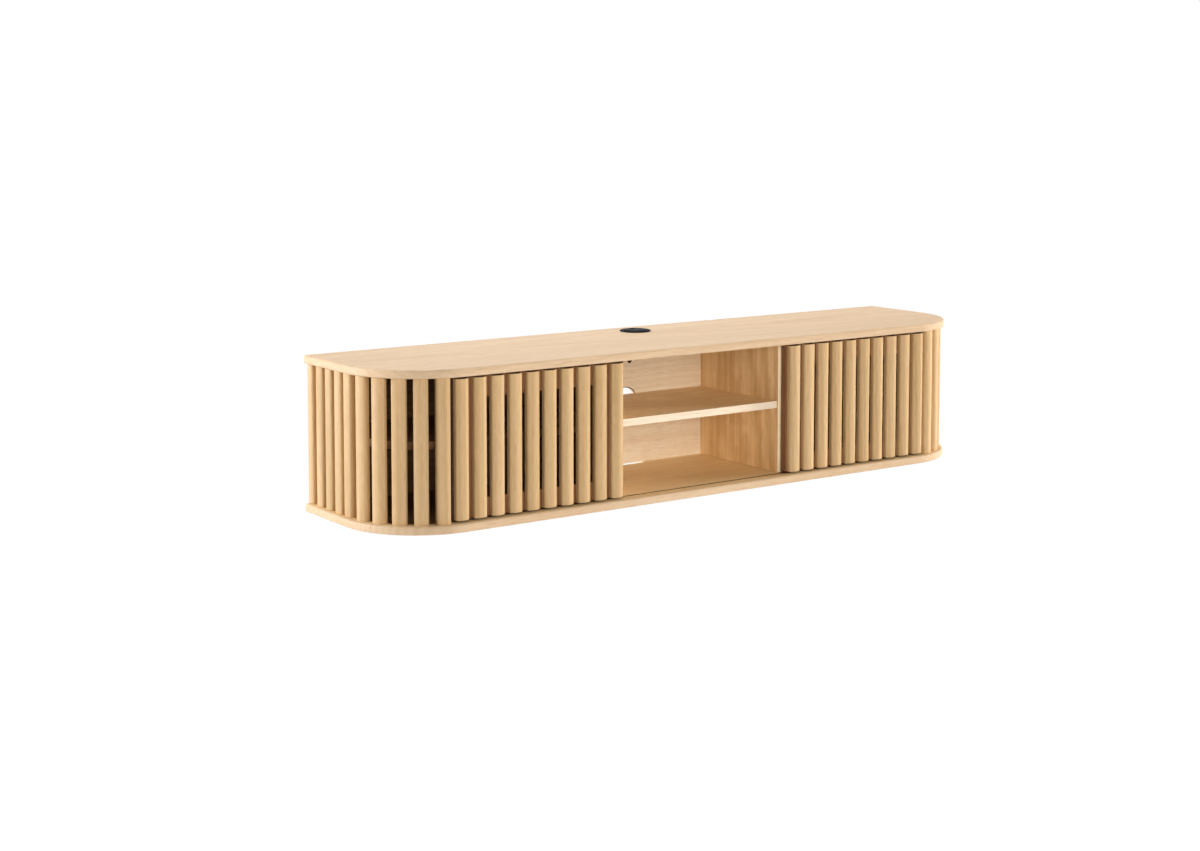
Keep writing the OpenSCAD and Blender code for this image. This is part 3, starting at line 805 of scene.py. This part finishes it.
class CONSOLE_OT_shelves(bpy.types.Operator):
    """The centre shelf and the two shelves behind the doors"""
    bl_idname = "console.shelves"
    bl_label = "Shelves"

    def execute(self, context):
        ease = settings().finish.ease
        centre = eased_copy("centre_shelf", "case", "oak_inside", "oak_panel", ease, BORED)
        face_with(centre, "oak_edging", lambda c, n: n.y < -ROUNDED)
        # The shelves behind the doors take painted shade all over.
        for side in SIDES:
            eased_copy(f"{side}_shelf", "case", "oak_shade", "oak_panel", ease, BORED)
        return {"FINISHED"}


# Slats

def master_slat(name, length):
    """One slat standing on its middle, its glued face on the Y axis's origin and its bowed
    front towards -Y."""
    slat = settings().slat
    half, shoulder = slat.width / 2, slat.shoulder
    shoulder_x = half - shoulder
    bow_y = slat.bow - slat.depth
    rise = math.sqrt((slat.bow - shoulder) ** 2 - shoulder_x ** 2)
    shoulder_y = bow_y - rise
    front_x = shoulder_x * slat.bow / (slat.bow - shoulder)    # where bow and shoulder meet
    piece = drum(name, (0, bow_y, 0), slat.bow, length, sides=288)
    saw_off(piece, (front_x, 0, 0), (1, 0, 0))
    saw_off(piece, (-front_x, 0, 0), (-1, 0, 0))
    saw_off(piece, (0, shoulder_y / 2, 0), (0, 1, 0))
    flank = block(name + "_flank", (-half, shoulder_y, -length / 2), (half, 0, length / 2))
    combine(piece, flank, "UNION")
    for x in (-shoulder_x, shoulder_x):
        rounding = drum(name + "_shoulder", (x, shoulder_y, 0), shoulder, length, sides=72)
        combine(piece, rounding, "UNION")
    make_whole(piece, SEAM, degrees=0.3)
    return ease_edges(piece, slat.ease, segments=3, sharper_than=60)


def place_slat(master, name, spot, turn):
    """A copy of the master slat with its own mesh, glued at spot and turned about Z."""
    piece = bpy.data.objects.new(name, master.data.copy())
    bpy.context.scene.collection.objects.link(piece)
    piece.location = spot
    piece.rotation_euler = (0, 0, turn)
    return settle(piece)


def closing_strip(master, side, way, middle_z):
    """The strip beside the wall: a slat sawn to width at the wall's plane."""
    slat = settings().slat
    spot = (way * SIDE_FACE_X, slat.width / 2 - slat.strip, middle_z)
    strip = place_slat(master, f"{side}_closing_strip", spot, way * math.pi / 2)
    saw_off(strip, (0, 0, 0), (0, 1, 0), threshold=MERGE)
    return smooth(strip)


class CONSOLE_OT_end_slats(bpy.types.Operator):
    """Slats and closing strips on the flat ends, and the slats round the corners"""
    bl_idname = "console.end_slats"
    bl_label = "End and corner slats"

    def execute(self, context):
        slat = settings().slat
        middle_z = (FLOOR_Z + CEILING_Z) / 2
        master = master_slat("tall_slat", CEILING_Z - FLOOR_Z)
        corner_x = CONSOLE_X - slat.corner_radius
        corner_y = FRONT_Y + slat.corner_radius
        back_r = SIDE_FACE_X - corner_x
        for side, way in SIDES.items():
            slats = []
            for i in range(slat.end_count):
                spot = (way * SIDE_FACE_X, -slat.end_start - i * slat.end_pitch, middle_z)
                slats.append(place_slat(master, f"{side}_end_slat_{i + 1}", spot,
                                        way * math.pi / 2))
            take_up(*slats, closing_strip(master, side, way, middle_z))
            bpy.ops.object.join()
            node = f"{side}_end_slats"
            ends = bpy.context.object
            ends.name = node + "_finished"
            dress(ends, "case", "oak_slat", "oak_slat", node)
            for i in range(slat.corner_count):
                angle = slat.first_angle + i * slat.pitch / back_r
                spot = (way * (corner_x + back_r * math.sin(angle)),
                        corner_y - back_r * math.cos(angle), middle_z)
                node = f"{side}_corner_slat_{i + 1}"
                piece = place_slat(master, node + "_finished", spot, way * angle)
                dress(piece, "case", "oak_slat", "oak_slat", node)
        bpy.data.objects.remove(master)
        return {"FINISHED"}


# Doors

def door_slats(side):
    """The names of a door's slats, in order."""
    start = f"{side}_door_slat_"
    count = sum(node.startswith(start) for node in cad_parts)
    return [f"{start}{number}" for number in range(1, count + 1)]


def outermost_slat_x(side):
    """How far a door's slats reach from the middle plane."""
    return max(abs(corner.x) for node in door_slats(side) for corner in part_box(node))


def frame_boards(side, way):
    """Two stiles and two rails that butt between them.

    Their faces are parted where the slats end, because the wood past the slats takes painted
    shade, which stands in for the dark gaps above and below the doors and beside the outer stiles.
    """
    low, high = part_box(f"{side}_door_frame")
    slat_low, slat_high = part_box(f"{side}_door_slat_1")
    outer_x = outermost_slat_x(side)
    near, far = (low.x, high.x) if way > 0 else (high.x, low.x)
    inner, outer = near + way * STILE, far - way * STILE
    spans = {
        "inner_stile": ((near, inner), (low.z, high.z)),
        "outer_stile": ((outer, far), (low.z, high.z)),
        "bottom_rail": ((inner, outer), (low.z, low.z + BOTTOM_RAIL)),
        "top_rail": ((inner, outer), (high.z - TOP_RAIL, high.z)),
    }
    boards = {}
    for part, ((x0, x1), (z0, z1)) in spans.items():
        board = block(f"{side}_door_{part}", (min(x0, x1), low.y, z0), (max(x0, x1), high.y, z1))
        score(score(board, "Z", slat_low.z, slat_high.z), "X", way * outer_x)
        boards[part] = ease_edges(board, FRAME_EASE)
    return boards


class CONSOLE_OT_doors(bpy.types.Operator):
    """Sliding doors: frames, slats and glides"""
    bl_idname = "console.doors"
    bl_label = "Sliding doors"

    def execute(self, context):
        for side, way in SIDES.items():
            body = f"{side}_door"
            slat_low, slat_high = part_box(f"{side}_door_slat_1")
            outer_x = outermost_slat_x(side)
            for part, board in frame_boards(side, way).items():
                material = "frame_stile" if "stile" in part else "frame_rail"
                nodes = [f"{side}_door_frame"] if part == "inner_stile" else []
                dress(board, body, material, "door_frame", *nodes)
                # Painted shade on the frame past the slats, for the dark gaps above and below them
                # and beside the outer stile.
                face_with(board, "frame_edge", lambda c, n: abs(c.x) > outer_x
                          or not slat_low.z < c.z < slat_high.z)
            master = master_slat("short_slat", slat_high.z - slat_low.z)
            for node in door_slats(side):
                low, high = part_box(node)
                spot = ((low.x + high.x) / 2, high.y, (low.z + high.z) / 2)
                piece = place_slat(master, node + "_finished", spot, 0)
                dress(piece, body, "oak_slat", "oak_slat", node)
                # The slats' ends take the dark raw core: darker end grain, and painted shade for
                # the dark lines above and below the doors.
                face_with(piece, "end_grain", lambda c, n: abs(n.z) > FACING)
            bpy.data.objects.remove(master)
            eased_copy(f"{side}_door_glides", body, "nylon", "nylon", MOULDED_EASE)
        return {"FINISHED"}


class CONSOLE_OT_grommet(bpy.types.Operator):
    """Black cable grommet: flanged sleeve and turning cap"""
    bl_idname = "console.grommet"
    bl_label = "Cable grommet"

    def execute(self, context):
        for node, body in (("grommet_sleeve", "case"), ("grommet_cap", "grommet_turn")):
            eased_copy(node, body, "black_plastic", "black_plastic", MOULDED_EASE)
        return {"FINISHED"}


class CONSOLE_OT_hanging(bpy.types.Operator):
    """Cleats, lower battens and their screws behind the back panel"""
    bl_idname = "console.hanging"
    bl_label = "Hanging cleats"

    def execute(self, context):
        for node in ("cabinet_cleat", "wall_cleat", "left_wall_batten", "right_wall_batten"):
            eased_copy(node, "case", "pine", "pine", CLEAT_EASE, BORED)
        eased_copy("cleat_screws", "case", "black_steel", "black_screw", SCREW_EASE)
        return {"FINISHED"}


class CONSOLE_OT_fastenings(bpy.types.Operator):
    """Cam locks, their bolts and the shelf pins"""
    bl_idname = "console.fastenings"
    bl_label = "Cam locks and shelf pins"

    def execute(self, context):
        for node in ("cam_locks", "cam_bolts", "centre_shelf_pins", "left_shelf_pins",
                     "right_shelf_pins"):
            eased_copy(node, "case", "bright_steel", "zinc_steel", STEEL_EASE)
        return {"FINISHED"}


# Camera and studio

WHITE = (1, 1, 1, 1)
FLOOR_GREY = (0.7, 0.7, 0.7, 1)
FLOOR_GLOW = 0.8              # light that the floor adds where it is seen, to be white
FLOOR_FADE = 4.0              # metres over which the floor fades to white
FLOOR_SIZE = 60
CLIP_END = 200
LAMP_AIM = (0, -0.2, 0)

# Each soft box: its place, its width and height, its power in watts, and whether gloss mirrors it
LAMPS = {
    "left_back_box": ((-3.8, 1.9, 0.7), (2.2, 2.0), 215, True),
    "right_box": ((6.4, -1.7, 0.7), (3.2, 3.0), 630, False),
    "front_left_box": ((-1.6, -4.5, 0.9), (2.6, 2.2), 110, False),
    "front_box": ((0.6, -4.6, 0.3), (1.8, 1.6), 28, False),
    "top_back_box": ((0.2, 1.2, 3.0), (2.6, 1.4), 90, True),
}


class CONSOLE_OT_camera(bpy.types.Operator):
    """Camera at the photograph's viewpoint"""
    bl_idname = "console.camera"
    bl_label = "Camera"

    def execute(self, context):
        view = settings().view
        azimuth, elevation = view.azimuth, view.elevation
        back = Vector((math.sin(azimuth) * math.cos(elevation),
                       -math.cos(azimuth) * math.cos(elevation), math.sin(elevation)))
        right = Vector((math.cos(azimuth), math.sin(azimuth), 0))
        bpy.ops.object.select_all(action="DESELECT")
        bpy.ops.object.camera_add()
        camera = context.object
        camera.name = "photograph_view"
        spot = Vector(view.target) + back * view.distance
        turned = Matrix((right, back.cross(right), back)).transposed().to_4x4()
        camera.matrix_world = Matrix.Translation(spot) @ turned
        camera.data.sensor_width = view.sensor
        camera.data.lens = view.lens
        camera.data.shift_y = view.shift
        camera.data.clip_end = CLIP_END
        context.scene.camera = camera
        return {"FINISHED"}


def soft_light(name, spot, size, power, mirrored):
    """A rectangular soft box at spot, turned to the console, which gloss may mirror or not."""
    bpy.ops.object.select_all(action="DESELECT")
    bpy.ops.object.light_add(type="AREA", location=spot)
    light = bpy.context.object
    light.name = name
    light.visible_glossy = mirrored
    light.data.shape = "RECTANGLE"
    light.data.size, light.data.size_y = size
    light.data.energy = power
    light.rotation_euler = (Vector(spot) - Vector(LAMP_AIM)).to_track_quat("Z", "Y").to_euler()


def white_surround(ambient):
    """White where it is seen, and a faint even light elsewhere."""
    paint = Paint(bpy.data.worlds.new("white_surround"))
    strength = paint.seen_directly() * (1 - ambient) + ambient
    return paint.end("World", paint.node("ShaderNodeBackground",
                                         links={"Color": WHITE, "Strength": strength}))


def pale_floor():
    """White floor that keeps the console's shadow and fades into the white surround."""
    paint = Paint(bpy.data.materials.new("pale_floor"))
    shaded = paint.node("ShaderNodeBsdfDiffuse", links={"Color": FLOOR_GREY})
    glow, white = (paint.node("ShaderNodeEmission", links={"Color": WHITE, "Strength": strength})
                   for strength in (FLOOR_GLOW, 1.0))
    near = paint.node("ShaderNodeAddShader", links={0: shaded, 1: glow})
    away = paint.node("ShaderNodeVectorMath", {"operation": "LENGTH"}, {0: paint.place}, 1)
    far = paint.ramp(away * (1 / FLOOR_FADE), (0.0, 0.0), (0.3, 0.0), (0.7, 1.0), (1.0, 1.0))
    seen = paint.node("ShaderNodeMixShader", links={0: far, 1: near, 2: white})
    return paint.end("Material", paint.node(
        "ShaderNodeMixShader", links={0: paint.seen_directly(), 1: shaded, 2: seen}))


class CONSOLE_OT_studio(bpy.types.Operator):
    """Pale floor, soft boxes and a white surround"""
    bl_idname = "console.studio"
    bl_label = "Studio"

    def execute(self, context):
        studio = settings().studio
        context.scene.view_settings.view_transform = "Standard"
        context.scene.world = white_surround(studio.ambient)
        bpy.ops.object.select_all(action="DESELECT")
        bpy.ops.mesh.primitive_plane_add(
            size=FLOOR_SIZE, location=(0, 0, BOTTOM_LOW.z - studio.floor_drop))
        floor = context.object
        floor.name = "studio_floor"
        floor.data.materials.append(pale_floor())
        for name, lamp in LAMPS.items():
            soft_light(name, *lamp)
        return {"FINISHED"}


STEPS = (
    CONSOLE_OT_camera,
    CONSOLE_OT_panels,
    CONSOLE_OT_carcass,
    CONSOLE_OT_shelves,
    CONSOLE_OT_end_slats,
    CONSOLE_OT_doors,
    CONSOLE_OT_grommet,
    CONSOLE_OT_hanging,
    CONSOLE_OT_fastenings,
    CONSOLE_OT_studio,
)


class CONSOLE_PT_sidebar(bpy.types.Panel):
    """Lists the steps that dress the console"""
    bl_idname = "CONSOLE_PT_sidebar"
    bl_label = "Media console"
    bl_space_type = "VIEW_3D"
    bl_region_type = "UI"
    bl_category = "Console"

    def draw(self, context):
        for step in STEPS:
            self.layout.operator(step.bl_idname)
        for group in ("view", "finish", "slat", "studio"):
            box = self.layout.box()
            values = getattr(context.scene.console, group)
            for key in values.__annotations__:
                box.prop(values, key)


CLASSES = (ViewSettings, FinishSettings, SlatSettings, StudioSettings, ConsoleSettings,
           *STEPS, CONSOLE_PT_sidebar)


def register():
    for made in CLASSES:
        bpy.utils.register_class(made)
    bpy.types.Scene.console = PointerProperty(type=ConsoleSettings)


def unregister():
    del bpy.types.Scene.console
    for made in reversed(CLASSES):
        bpy.utils.unregister_class(made)


def main():
    register()
    for step in STEPS:
        group, name = step.bl_idname.split(".")
        getattr(getattr(bpy.ops, group), name)()


if __name__ == "__main__":
    main()
